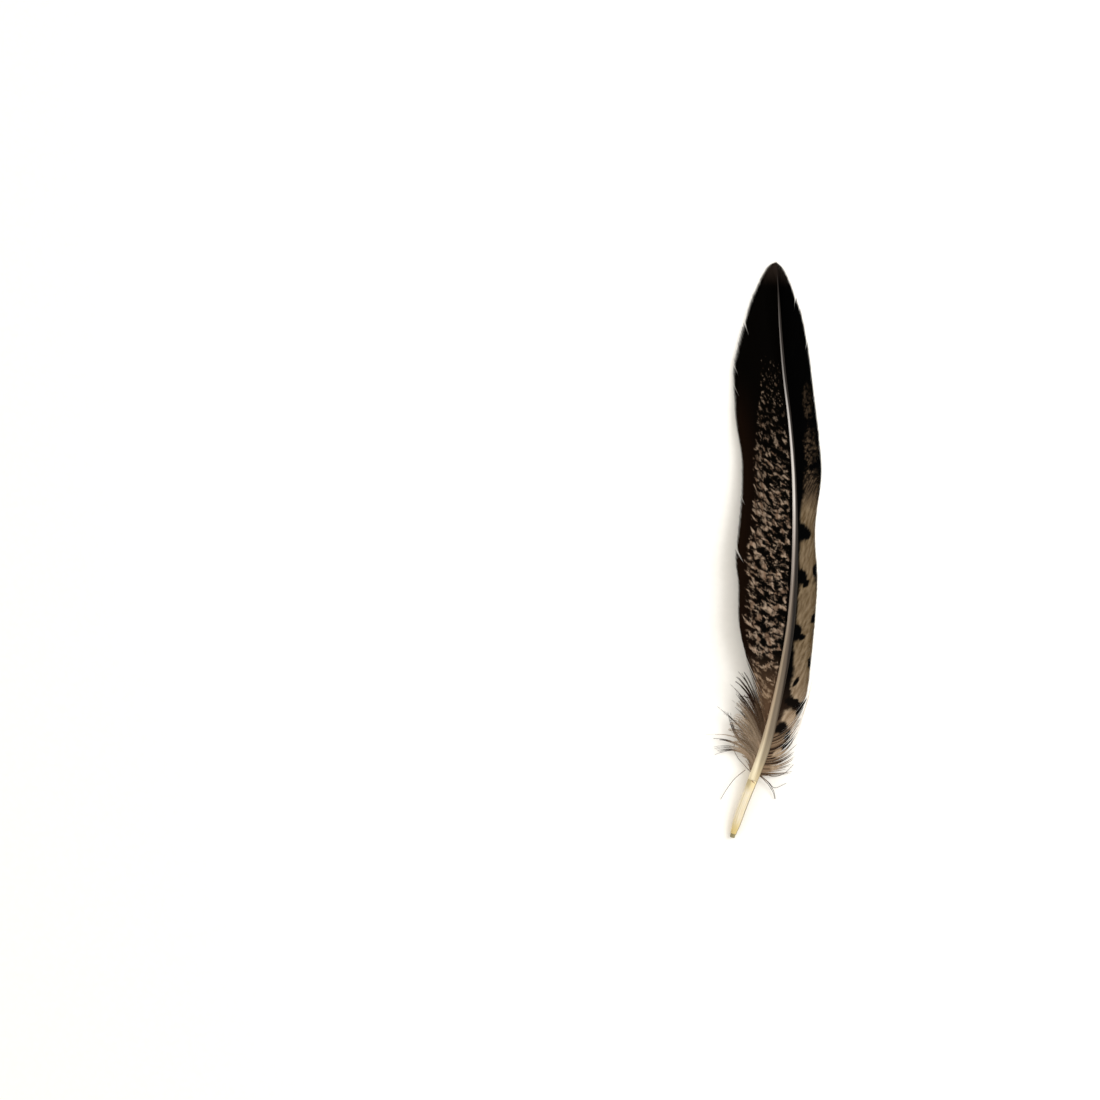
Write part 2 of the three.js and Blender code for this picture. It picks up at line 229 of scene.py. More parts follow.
class Finish:
    """A material being made: its shader's plain values, and short names for the nodes that feed it."""

    def __init__(self, name, **plain):
        self.material = bpy.data.materials.new(name)
        self.material.use_nodes = True
        self.tree = self.material.node_tree
        self.shader = self.tree.nodes["Principled BSDF"]
        for socket, value in plain.items():
            self.shader.inputs[socket.replace("_", " ")].default_value = value

    def add(self, kind, inputs=(), **settings):
        node = self.tree.nodes.new(kind)
        for key, value in settings.items():
            setattr(node, key, value)
        for socket, value in dict(inputs).items():
            self.feed(node.inputs[socket], value)
        return node

    def feed(self, socket, value):
        if isinstance(value, bpy.types.NodeSocket):
            self.tree.links.new(value, socket)
        else:
            socket.default_value = value

    def read(self, label):
        """A named vector of the mesh, as its three numbers."""
        vector = self.add("ShaderNodeAttribute", attribute_name=label).outputs["Vector"]
        return self.add("ShaderNodeSeparateXYZ", {0: vector}).outputs

    def math(self, operation, *values):
        node = self.add("ShaderNodeMath", dict(enumerate(values)), operation=operation)
        return node.outputs[0]

    def stretched(self, x, x_scale, y, y_scale, seed=0.0):
        """A place in a noise pattern from two numbers, each with its own scale."""
        inputs = {0: self.math("MULTIPLY", x, x_scale), 1: self.math("MULTIPLY", y, y_scale), 2: seed}
        return self.add("ShaderNodeCombineXYZ", inputs).outputs[0]

    def step(self, value, low, high):
        """0 below low and 1 above high, with a soft rise between them. High may be the lower number."""
        inputs = {"Value": value, "From Min": low, "From Max": high}
        return self.add("ShaderNodeMapRange", inputs, interpolation_type="SMOOTHSTEP").outputs[0]

    def between(self, value, low, high, first, second):
        inputs = {"Value": value, "From Min": low, "From Max": high, "To Min": first, "To Max": second}
        return self.add("ShaderNodeMapRange", inputs).outputs[0]

    def noise(self, vector, scale=1.0, detail=2.0, roughness=0.5, distortion=0.0):
        inputs = {"Vector": vector, "Scale": scale, "Detail": detail, "Roughness": roughness,
                  "Distortion": distortion}
        return self.add("ShaderNodeTexNoise", inputs).outputs[0]

    def mix(self, part, first, second):
        node = self.add("ShaderNodeMix", data_type="RGBA")
        self.feed(node.inputs[0], part)
        self.feed(node.inputs[6], first)
        self.feed(node.inputs[7], second)
        return node.outputs[2]

    def blotches(self, spot, ovals):
        """How far a spot is from the nearest oval: below 1 inside it. An oval is x, y, half sizes, turn."""
        nearest = None
        for x, y, half_x, half_y, turn in ovals:
            inputs = {"Vector": spot, "Location": (x, y, 0), "Rotation": (0, 0, math.radians(turn)),
                      "Scale": (half_x, half_y, 1)}
            placed = self.add("ShaderNodeMapping", inputs, vector_type="TEXTURE").outputs[0]
            length = self.add("ShaderNodeVectorMath", {0: placed}, operation="LENGTH").outputs["Value"]
            nearest = length if nearest is None else self.math("SMOOTH_MIN", nearest, length, 0.25)
        return nearest

    def ramp(self, station, stops):
        """The colour at a station, from (station, screen colour) stops."""
        node = self.add("ShaderNodeValToRGB", {0: self.math("DIVIDE", station, VANE_TIP)})
        elements = node.color_ramp.elements
        elements.remove(elements[1])
        elements[0].color = rgb(*stops[0][1])
        for at, colour in stops:
            elements.new(at / VANE_TIP).color = rgb(*colour)
        return node.outputs[0]

    def bump(self, height, strength, distance):
        inputs = {"Height": height, "Strength": strength, "Distance": distance}
        self.feed(self.shader.inputs["Normal"], self.add("ShaderNodeBump", inputs).outputs[0])

    def colour(self, value):
        self.feed(self.shader.inputs["Base Color"], value)
        return self.material


def barb_finish(name):
    """What both vanes share: satin horn threads with a fine cross-hatch of barbules."""
    finish = Finish(name, Roughness=0.5, Specular_IOR_Level=0.008)
    lie = finish.read("lie")
    finish.bump(finish.noise(finish.stretched(lie[0], 6, lie[1], 14), detail=1), 0.25, 0.00003)
    return finish, lie


# The cosine and the sine of the angle between the barbs and the shaft.
ALONG_BARB = 0.84
ASIDE_BARB = 0.545
FLECK_MIDDLE = 117.0


def flecks(finish, aside, along, aside_scale, along_scale, seed, twist):
    """A cloudy pattern drawn out along the barbs."""
    spot = finish.stretched(aside, aside_scale, along, along_scale, seed)
    return finish.noise(spot, detail=2, roughness=0.55, distortion=twist)


def trailing_finish():
    """Blackish brown, with grey-buff flecks drawn out along the barbs between the shaft and the margin."""
    finish, lie = barb_finish("mottled barbs")
    place = finish.read("place")
    across, station = place[0], place[1]
    # Millimetres along the barbs and square to them. Low on the vane the flecks lean out from the barbs.
    along = finish.math("MULTIPLY_ADD", lie[0], ALONG_BARB, finish.math("SUBTRACT", lie[1], FLECK_MIDDLE))
    lean = finish.between(station, 108, 142, 0.15, -0.04)
    aside = finish.math("MULTIPLY_ADD", along, lean, finish.math("MULTIPLY", lie[0], ASIDE_BARB))
    coarse = flecks(finish, aside, along, 0.9, 0.42, 3.7, 0.5)
    small = flecks(finish, aside, along, 1.25, 0.6, 9.1, 0.4)
    by_tip = finish.step(station, 130, 150)
    pattern = finish.math("ADD", finish.math("MULTIPLY", small, by_tip),
                          finish.math("MULTIPLY", coarse, finish.math("SUBTRACT", 1.0, by_tip)))
    margin = finish.math("SUBTRACT", finish.between(station, 66, 112, 0.93, 0.8),
                         finish.between(station, 124, 152, 0.0, 0.28))
    in_margin = finish.step(finish.math("SUBTRACT", across, margin), -0.08, 0.06)
    near_tip = finish.math("ADD", finish.between(station, 124, 150, 0.0, 0.085),
                           finish.math("MULTIPLY", finish.step(station, 152, 174), 0.3))
    by_shaft = finish.step(across, 0.07, 0.03)
    bias = finish.math("ADD", finish.math("MULTIPLY", in_margin, 0.3),
                       finish.math("ADD", near_tip, finish.math("MULTIPLY", by_shaft, 0.15)))
    fleck = finish.step(finish.math("SUBTRACT", pattern, bias), 0.46, 0.68)
    fleck = finish.math("MULTIPLY", fleck, finish.between(station, 100, 156, 1.0, 0.5))
    tone = finish.noise(finish.stretched(lie[0], 0.25, lie[1], 0.4, 5.0), detail=1)
    buff = finish.mix(finish.step(tone, 0.35, 0.65), rgb(112, 90, 73), rgb(162, 141, 121))
    brown_edge = finish.math("MULTIPLY", finish.step(across, 0.5, 1.0), finish.step(station, 158, 132))
    dark = finish.mix(brown_edge, rgb(3, 2, 1), rgb(19, 9, 4))
    soft_foot = finish.step(station, 64, 44)
    dark = finish.mix(soft_foot, dark, rgb(80, 60, 44))
    buff = finish.mix(soft_foot, buff, rgb(140, 118, 94))
    tip_rim = finish.math("MULTIPLY", finish.step(station, 184, 191), 0.8)
    dark = finish.mix(tip_rim, dark, rgb(40, 32, 27))
    return finish.colour(finish.mix(fleck, dark, buff))


# Pigment of the leading vane: middle x and station, half sizes, and turn in degrees.
BUFF_OVALS = [
    (13.9, 147, 1.7, 6, 8), (16.2, 131.8, 2.4, 6.4, 8), (17.2, 120.2, 2.7, 6.4, 4),
    (17.7, 108.5, 3.9, 9.4, 0), (18.3, 95, 4, 8.5, 0), (18.8, 78, 4.2, 11.5, 0),
    (19.2, 62, 4.2, 11, 4), (18.7, 51.5, 3.4, 5, 12), (16.4, 41, 3.5, 3.1, -20),
    (18.4, 37.2, 1.9, 2.6, -30), (13.9, 29.4, 2.8, 1.5, 20), (12.2, 24.7, 1.9, 1.0, 10),
]
BLACK_OVALS = [
    (18.6, 126.3, 4.4, 0.9, 30), (15.0, 103.4, 2.9, 2.9, 0), (17.2, 102.6, 1.2, 1.9, -30),
    (15.6, 88.6, 2.6, 2.6, 0), (17.6, 86.8, 1.4, 1.6, 20), (20.9, 91.0, 1.0, 2.2, 0),
    (21.8, 74.9, 1.1, 1.8, 0), (15.8, 70.0, 2.0, 2.9, 0), (17.8, 68.6, 1.3, 1.2, -20),
    (21.5, 60.0, 0.8, 2.1, 0), (17.0, 53.3, 0.7, 1.9, -30), (16.8, 46.4, 3.2, 1.5, -20),
    (19.7, 44.3, 1.5, 2.6, -15), (13.4, 37.9, 1.6, 2.4, -40), (15.6, 35.4, 1.6, 0.9, 40),
    (16.2, 32.3, 2.6, 1.4, 40),
]


def leading_finish():
    """Black towards the tip, and below that buff with black blotches; a dark strip beside the shaft."""
    finish, lie = barb_finish("blotched barbs")
    place = finish.read("place")
    crest = finish.read("crest")
    across, station = place[0], place[1]
    spot = finish.add("ShaderNodeAttribute", attribute_name="pigment").outputs["Vector"]
    ragged = finish.math("MULTIPLY", finish.math("SUBTRACT", finish.noise(spot, 0.7, 2.0), 0.5),
                         finish.between(station, 112, 130, 0.55, 1.5))
    to_buff = finish.math("ADD", finish.blotches(spot, BUFF_OVALS), ragged)
    to_black = finish.math("ADD", finish.blotches(spot, BLACK_OVALS), ragged)
    buff_part = finish.step(to_buff, 1.2, 0.76)
    clear_part = finish.step(to_black, 0.8, 1.22)
    hatch_zone = finish.step(station, 110, 118)
    cloud = finish.step(finish.noise(spot, 0.9, 3.0), 0.4, 0.62)
    cloud = finish.math("MAXIMUM", cloud, finish.step(station, 124, 114))
    faint_up = finish.math("MULTIPLY", cloud, finish.between(station, 112, 150, 0.9, 0.24))
    # Painted shade between barbs: darker at the web edges, away from each barb's crest, and in the gaps
    # between clumps of barbs, high on the vane.
    bunches = finish.noise(finish.stretched(lie[0], 1.15, lie[1], 0.16, 6.0), detail=1)
    shaded_gaps = finish.math("MAXIMUM", finish.math("MULTIPLY", finish.step(bunches, 0.62, 0.42), 0.75),
                       finish.math("SUBTRACT", 0.66, crest[0]))
    hatch = finish.math("SUBTRACT", 1.0, finish.math("MULTIPLY", hatch_zone, shaded_gaps))
    strip = finish.math("ADD", finish.between(station, 58, 67, 0.24, 0.06),
                        finish.math("ADD", finish.between(station, 40, 54, -0.13, 0.0),
                                    finish.between(station, 92, 122, 0.0, 0.18)))
    off_shaft = finish.step(finish.math("SUBTRACT", across, strip), -0.07, 0.1)
    part = finish.math("MULTIPLY", finish.math("MULTIPLY", buff_part, clear_part),
                       finish.math("MULTIPLY", hatch, off_shaft))
    part = finish.math("MULTIPLY", part, faint_up)
    tone = finish.step(finish.noise(finish.stretched(lie[0], 0.5, lie[1], 0.3, 2.0), detail=2), 0.3, 0.7)
    olive = finish.mix(tone, rgb(90, 73, 51), rgb(130, 112, 88))
    pale = finish.mix(tone, rgb(130, 109, 86), rgb(172, 151, 127))
    buff = finish.mix(finish.step(station, 66, 38), olive, pale)
    buff = finish.mix(hatch_zone, buff, rgb(104, 86, 67))
    rim = finish.math("MULTIPLY", finish.step(across, 0.7, 1.0), 0.5)
    buff = finish.mix(rim, buff, rgb(62, 48, 26))
    brown = finish.mix(finish.step(lie[2], 0.3, 0.95), rgb(40, 28, 20), rgb(128, 106, 84))
    brown = finish.mix(finish.step(station, 30, 46), brown, rgb(40, 28, 20))
    dark = finish.mix(finish.step(station, 58, 36), rgb(1, 1, 1), brown)
    blotch = finish.mix(finish.step(station, 60, 42), rgb(1, 1, 1), rgb(12, 8, 6))
    dark = finish.mix(clear_part, blotch, dark)
    tip_rim = finish.math("MULTIPLY", finish.step(station, 184, 191), 0.8)
    dark = finish.mix(tip_rim, dark, rgb(36, 29, 25))
    return finish.colour(finish.mix(part, dark, buff))


def down_finish():
    """Grey-brown, soft and matt, with dark tips."""
    finish = Finish("down", Roughness=0.95, Specular_IOR_Level=0.03)
    place = finish.read("place")
    tone = finish.mix(place[2], rgb(95, 74, 56), rgb(204, 183, 158))
    past = finish.step(finish.math("SUBTRACT", place[0], place[1]), 0.0, 0.25)
    return finish.colour(finish.mix(past, tone, rgb(46, 32, 24)))


# The shaft's colour down its length, as (station, colour): painted light and shade, in a lit band, a middle,
# and a shaded flank.
LIT_BAND = [
    (19, (240, 226, 190)), (25, (252, 238, 206)), (34, (204, 186, 158)), (46, (200, 178, 150)),
    (64, (180, 162, 140)), (84, (158, 146, 136)), (98, (186, 176, 168)), (114, (232, 225, 218)),
    (141, (222, 216, 212)), (155, (160, 155, 152)), (172, (112, 107, 104)), (184, (46, 43, 41)),
]
MIDDLE_BAND = [
    (19, (212, 194, 154)), (27, (156, 142, 118)), (36, (126, 113, 96)), (60, (104, 92, 80)),
    (80, (112, 100, 90)), (95, (100, 90, 84)), (114, (88, 80, 76)), (140, (56, 52, 50)),
    (160, (32, 29, 28)), (184, (22, 20, 19)),
]
SHADED_FLANK = [
    (19, (160, 144, 106)), (27, (96, 83, 68)), (36, (74, 62, 50)), (50, (38, 29, 22)), (66, (16, 12, 9)),
    (90, (8, 6, 5)), (120, (8, 7, 6)), (150, (4, 4, 4)), (184, (5, 4, 4)),
]
# Where, from -1 at one flank to 1 at the other, the painted lit band ends and the painted shaded flank
# begins.
LIT_END = smooth([
    (20, 0.1), (27, -0.2), (36, -0.3), (50, -0.45), (74, -0.5), (90, -0.25), (104, -0.1), (120, 0),
    (135, -0.1), (160, -0.3), (RACHIS_TIP, -0.25),
])
SHADE_START = smooth([
    (20, 0.8), (30, 0.85), (40, 0.62), (50, 0.4), (58, 0.28), (66, 0.06), (82, -0.14), (95, -0.02),
    (120, 0.3), (135, 0.2), (160, 0.05), (RACHIS_TIP, 0.2),
])


def shaft_finish():
    """Horn with painted light and shade: a lit cream band on the side of the broad vane and a shaded
    grey-brown flank on the other, streaked lengthwise.
    """
    finish = Finish("shaft horn", Roughness=0.45, Specular_IOR_Level=0.1)
    skin = finish.read("skin")
    bands = finish.read("bands")
    streak = finish.noise(finish.stretched(skin[0], 9, skin[1], 0.1), detail=3, roughness=0.6)
    waver = finish.math("MULTIPLY", finish.math("SUBTRACT", streak, 0.5), 0.4)
    # The lit band, the middle and the shaded flank are painted light and shade, not the horn's own colour.
    lit, middle, shaded = [finish.ramp(skin[1], stops) for stops in (LIT_BAND, MIDDLE_BAND, SHADED_FLANK)]
    past_lit = finish.step(finish.math("ADD", bands[0], waver), -0.22, 0.3)
    past_middle = finish.step(finish.math("ADD", bands[1], waver), -0.3, 0.35)
    colour = finish.mix(past_middle, finish.mix(past_lit, lit, middle), shaded)
    grain = finish.math("MULTIPLY", finish.step(streak, 0.62, 0.42), 0.22)
    colour = finish.mix(grain, colour, rgb(70, 58, 46))
    finish.bump(streak, 0.35, 0.00008)
    return finish.colour(colour)


def horn_finish():
    """The bare quill: translucent cream horn, amber at its end, with a brown scar where the barbs begin, and
    painted shade along its flank on the side of the narrow vane.
    """
    finish = Finish("quill horn", Roughness=0.28, Specular_IOR_Level=0.35, Subsurface_Weight=0.25)
    finish.shader.inputs["Subsurface Radius"].default_value = (0.0012, 0.001, 0.0006)
    skin = finish.read("skin")
    side, station = skin[0], skin[1]
    streak = finish.noise(finish.stretched(side, 5, station, 0.12, 4.0), detail=3)
    cream = finish.mix(finish.step(streak, 0.3, 0.7), rgb(212, 197, 164), rgb(232, 221, 196))
    cream = finish.mix(finish.step(station, 7.5, 2.0), cream, rgb(206, 184, 122))
    tan = finish.mix(finish.step(side, -0.4, 0.1), rgb(186, 170, 128), rgb(226, 208, 164))
    cream = finish.mix(finish.step(station, 15.5, 18.5), cream, tan)
    # Painted shade: a dark line along the quill's flank on the side of the narrow vane.
    flank_shade = finish.math("ADD", side, finish.math("MULTIPLY", finish.math("SUBTRACT", streak, 0.5), 0.25))
    cream = finish.mix(finish.step(flank_shade, 0.62, 0.84), cream, rgb(126, 112, 76))
    crossing = finish.math("ADD", station, finish.math("MULTIPLY", side, 0.75))
    ragged = finish.noise(finish.stretched(side, 2.5, station, 1, 7.0), detail=3)
    scar_line = finish.between(ragged, 0, 1, 18.9, 20.1)
    off_line = finish.math("ABSOLUTE", finish.math("SUBTRACT", crossing, scar_line))
    scar = finish.math("MULTIPLY", finish.step(off_line, 0.24, 0.08), finish.step(ragged, 0.4, 0.52))
    finish.bump(streak, 0.2, 0.00006)
    return finish.colour(finish.mix(scar, cream, rgb(112, 76, 38)))


def plain_finish(name, low, high, scale, roughness):
    """A matt natural stuff whose colour wanders between two tones."""
    finish = Finish(name, Roughness=roughness, Specular_IOR_Level=0.2)
    place = finish.add("ShaderNodeTexCoord").outputs["Object"]
    grain = finish.noise(place, scale, 3.0, 0.6)
    finish.bump(grain, 0.4, 0.0001)
    return finish.colour(finish.mix(grain, low, high))


BLOTCHED = leading_finish()
MOTTLED = trailing_finish()
DOWNY = down_finish()
SHAFT_HORN = shaft_finish()
QUILL_HORN = horn_finish()
PITH_FOAM = plain_finish("pith", rgb(226, 218, 200), rgb(248, 244, 232), 2500, 0.9)
DRIED_PULP = plain_finish("dried pulp", rgb(120, 96, 66), rgb(176, 150, 108), 1800, 0.75)
END_PLUG = plain_finish("end plug", rgb(120, 112, 80), rgb(152, 142, 104), 1800, 0.6)


# ---------------------------------------------------------------------------------------------
# The shaft and the quill
# ---------------------------------------------------------------------------------------------
def shaft_rings(stations, half_width, half_depth, groove, corners=32):
    """Rings round the shaft's middle line, and where each point is on the skin: side, station, height."""
    middle = np.stack([shaft_x(stations), stations, shaft_z(stations)], -1)
    ahead = np.stack([shaft_x(stations + 0.5), stations + 0.5, shaft_z(stations + 0.5)], -1)
    behind = np.stack([shaft_x(stations - 0.5), stations - 0.5, shaft_z(stations - 0.5)], -1)
    along = unit(ahead - behind)
    across = unit(np.stack([along[:, 1], -along[:, 0], np.zeros(len(along))], -1))
    up = np.cross(across, along)
    angle = np.linspace(0, 2 * np.pi, corners, endpoint=False)
    out = np.sign(np.cos(angle)) * np.abs(np.cos(angle)) ** 0.85
    rise = np.sign(np.sin(angle)) * np.abs(np.sin(angle)) ** 0.85
    cut = np.where(rise < 0, np.exp(-((out / 0.36) ** 2)), 0)
    lift = rise * half_depth[:, None] * (1 - groove[:, None] * cut)
    width = out * half_width[:, None]
    rings = middle[:, None] + across[:, None] * width[..., None] + up[:, None] * lift[..., None]
    skin = np.stack(np.broadcast_arrays(np.cos(angle), stations[:, None], np.sin(angle)), -1)
    return rings, skin


def make_rachis():
    """The horned shaft from the quill's top to its hair-fine end, grooved along its underside."""
    stations = np.r_[np.linspace(QUILL_TOP - 0.25, 60, 70), np.linspace(61, RACHIS_TIP + 3.5, 170)]
    half = shaft_width(np.minimum(stations, RACHIS_TIP)) / 2
    half = half * np.clip((RACHIS_TIP + 3.8 - stations) / 3.8, 0.12, 1)
    groove = 0.26 * np.clip((stations - 24) / 14, 0, 1)
    rings, skin = shaft_rings(stations, half, half * depth_to_width(stations), groove)
    points, faces = closed_bodies(rings[None])
    # Where the painted lit band and the painted shaded flank begin round the shaft.
    bands = skin[..., :1] - np.stack([LIT_END(stations), SHADE_START(stations), stations * 0], -1)[:, None]
    values = {"skin": skin, "bands": bands}
    make_piece("shaft", points, faces, SHAFT_HORN, ["rachis_cortex"], values, True)


QUILL_WALL = 0.36
# By the distance from the quill's end, straight to its top.
quill_radius = smooth([
    (1.35, 0.96), (3, 1.16), (5, 1.37), (8, 1.5), (12, 1.54), (15, 1.56), (18.5, 1.6), (20.8, 1.66),
])


def make_quill():
    """The bare quill: an open horn tube with a slightly uneven wall."""
    quill_length = math.dist((shaft_x(0), 0, shaft_z(0)), (shaft_x(QUILL_TOP), QUILL_TOP, shaft_z(QUILL_TOP)))
    stations = np.linspace(1.3, QUILL_TOP - 0.1, 60)
    outside = quill_radius(stations * quill_length / QUILL_TOP)
    uneven = 1 + 0.012 * np.sin(stations * 1.9) + 0.008 * np.sin(stations * 4.3 + 1)
    outer, skin = shaft_rings(stations, outside * uneven, outside * uneven, stations * 0)
    inside = (outside - QUILL_WALL)[::-1]
    inner, inner_skin = shaft_rings(stations[::-1], inside, inside, stations * 0)
    rings = np.concatenate([outer, inner])
    here = np.arange(rings[..., 0].size).reshape(rings.shape[:2])
    there = np.roll(here, -1, 0)
    faces = np.stack([here, np.roll(here, -1, 1), np.roll(there, -1, 1), there], -1).reshape(-1, 4).tolist()
    make_piece("bare_quill", rings.reshape(-1, 3), faces, QUILL_HORN, ["calamus_barrel"],
               {"skin": np.concatenate([skin, inner_skin])}, True)


def finish_inner_nodes():
    """The part's own inner pieces keep their shapes and get their finishes."""
    for name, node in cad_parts.items():
        if name.startswith("pulp_cap") or name.endswith("plug"):
            node.data.materials.clear()
            node.data.materials.append(DRIED_PULP)
    for name, material in (("inferior_umbilicus_button", END_PLUG), ("rachis_pith", PITH_FOAM)):
        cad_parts[name].data.materials.clear()
        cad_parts[name].data.materials.append(material)


# ---------------------------------------------------------------------------------------------
# The vanes: one closed body for each barb
# ---------------------------------------------------------------------------------------------
BARB_PITCH = 0.42
BARB_STEPS = 26
# The last barbs fan out past the end of the shaft.
TIP_FAN = 1.5
PARTING_REACH = 2.2
CLUMP_SPACING = 1.7
# Half a barb's web, as a part of the space to the next barb: a little over half, so that webs overlap.
WEB_OVERLAP = 0.56
# How far one edge of a web lies below the barb's middle line and the other above it, so that each laps
# over the next one.
WEB_LOW_EDGE = 0.03
WEB_HIGH_EDGE = 0.012
RIDGE = 0.06
KEEL_AT_ROOT = 0.34
KEEL_AT_TIP = 0.05


def barb_bezier(side, roots, parts):
    """Plan places of the barbs rooted at roots, at parts[barb, step] of their way."""
    tips = roots + side.climb(roots)
    start = np.stack([root_x(side, roots) - side.sign * ROOT_SINK, roots], -1)[:, None]
    end = np.stack([side.edge_x(tips), tips], -1)[:, None]
    bend_parts = np.stack([np.full(len(roots), BEND_OUT), side.bend_up(roots)], -1)[:, None]
    bend = lerp(start, end, bend_parts)
    t = parts[..., None]
    return start * (1 - t) ** 2 + bend * 2 * t * (1 - t) + end * t**2


def wander(roots, size, lengths):
    """A slow ripple over neighbouring roots: a few sine waves of the given lengths."""
    phases = chance.uniform(0, 2 * np.pi, len(lengths))
    waves = [np.sin(2 * np.pi * roots / length + phase) for length, phase in zip(lengths, phases)]
    return size * sum(waves) / len(lengths)


def clump_lean(roots, loose):
    """How far the tip of each loose barb leans towards the middle of its clump."""
    edges = roots[0] + (np.cumsum(chance.uniform(0.5, 1.5, 200)) - 1.6) * CLUMP_SPACING
    clump = np.searchsorted(edges, roots)
    middle = (edges[clump - 1] + edges[clump]) / 2
    return (middle - roots) * 0.85 * loose


def make_vane(side, material):
    """All barbs of one vane, as one piece for each tract of the part."""
    count = round((RACHIS_TIP + TIP_FAN - side.first_root) / BARB_PITCH)
    roots = np.linspace(side.first_root + 0.2, RACHIS_TIP + TIP_FAN, count)
    web = np.clip(side.web(roots), 0.1, 1)
    loose = 1 - web
    reach = side.reach + chance.normal(0, 0.005, count) + loose * chance.uniform(-0.3, 0.06, count)
    parts = np.linspace(0, 1, BARB_STEPS)[None] * reach[:, None]
    plan = barb_bezier(side, roots, parts)
    lines = np.concatenate([plan, vane_height(side, plan[..., 0], plan[..., 1])[..., None]], -1)

    along = unit(np.gradient(lines, axis=1))
    gap = np.gradient(lines, axis=0)
    gap = gap - along * np.sum(gap * along, -1, keepdims=True)
    spacing = np.linalg.norm(gap, axis=-1)
    across = unit(gap)
    up = np.cross(along, across)
    up = up * np.sign(up[..., 2:3])

    t = np.linspace(0, 1, BARB_STEPS)
    lean = clump_lean(roots, loose)[:, None] + loose[:, None] * chance.normal(0, 0.2, (count, 1))
    sideways = lean * t**1.6
    lift = (wander(roots, 0.1, (31, 12, 5.3))[:, None] * t**1.5
            + loose[:, None] * chance.normal(0, 0.35, (count, 1)) * t**2)
    for at, opening, begins in side.partings:
        away = roots - at
        opens = np.clip((t - begins) / (1 - begins), 0, 1) ** 1.5
        push = np.sign(away) * opening / 2 * np.exp(-np.abs(away) / PARTING_REACH)
        sideways = sideways + push[:, None] * opens
        lift = lift + push[:, None] * 0.3 * opens
    lines = lines + across * sideways[..., None] + up * np.maximum(lift, -0.05)[..., None]

    taper = np.clip((1.0 - t) / 0.05, 0.2, 1) ** 0.8
    # The first barbs above the quill stand apart almost from their roots.
    narrowing = (1.3 + 1.7 * loose - 2.5 * np.clip((25 - roots) / 4, 0, 1))[:, None]
    half = np.minimum(spacing, BARB_PITCH) * WEB_OVERLAP * lerp(1, web[:, None], t**narrowing) * taper
    half = np.maximum(half, 0.02)
    keel = lerp(KEEL_AT_ROOT, KEEL_AT_TIP, t**0.7) * taper
    crest = RIDGE * lerp(1, 0.5, t) * taper
    corners = [
        lines - across * half[..., None] - up * WEB_LOW_EDGE,
        lines - up * keel[None, :, None],
        lines + across * half[..., None] + up * WEB_HIGH_EDGE,
        lines + up * crest[None, :, None],
    ]
    rings = np.stack(corners, 2)

    slide = wander(roots, 0.3, (7, 2.9)) + chance.normal(0, 0.16, count)
    length = np.linalg.norm(lines[:, -1] - lines[:, 0], axis=-1)
    slid = barb_bezier(side, roots, np.clip(parts + (slide / length)[:, None], 0, 1))
    distance = parts * length[:, None] + slide[:, None]
    tone = chance.uniform(0, 1, count)
    corner_shape = (count, BARB_STEPS, 4)

    def spread(*values):
        shaped = [np.broadcast_to(value[..., None] if value.ndim == 2 else value[:, None, None], corner_shape)
                  for value in values]
        return np.stack(shaped, -1)

    out = across_part(side, slid[..., 0], slid[..., 1])
    lie = spread(roots, distance, tone)
    place = spread(out, slid[..., 1], parts)
    pigment = spread(slid[..., 0], slid[..., 1], parts * 0)
    on_crest = np.broadcast_to(np.array([0, 0.5, 0, 1.0])[None, None], corner_shape)
    crests = np.stack([on_crest, on_crest, on_crest], -1)

    edges = np.linspace(side.first_root, RACHIS_TIP, side.tracts + 1)
    edges[-1] += TIP_FAN + 1
    for i in range(side.tracts):
        chosen = (roots >= edges[i]) & (roots < edges[i + 1])
        points, faces = closed_bodies(rings[chosen])
        values = {"lie": lie[chosen], "place": place[chosen], "pigment": pigment[chosen],
                  "crest": crests[chosen]}
        number = f"{i + 1:02d}"
        make_piece(f"{side.name}_vane_{number}", points, faces, material,
                   [f"{side.name}_barbs_{number}"], values)


# ---------------------------------------------------------------------------------------------
# Down and loose hairs
# ---------------------------------------------------------------------------------------------
# Wool at the foot of the trailing side: where a downy barb ends, and how far it bows up, by root station.
WOOL_BARBS = 190
wool_tip_x = smooth([
    (22, 3.4), (24, 1.6), (26, -1.8), (28, -3.9), (30, -3.0), (32, -1.8), (34, -0.8), (36, 1.4), (38.6, 5.4),
])
wool_tip_y = smooth([
    (22, 26.0), (24, 28.8), (26, 31.2), (28, 35.0), (30, 39.6), (32, 43.2), (34, 46.4), (36, 48.6),
    (38.6, 50.5),
])
wool_tip_z = smooth([(22, 1.9), (28, 2.4), (34, 4.4), (36, 5.1), (38.6, 6.0)])
wool_bow = smooth([(22, 0.8), (25, 2.8), (28, 4.6), (32, 3.4), (36, 1.6), (38.6, 0.6)])

# The part's down tufts, by the station where the next one's roots begin.
TUFT_ENDS = [23.8, 26.5, 29.5, 32.5, 35.3]

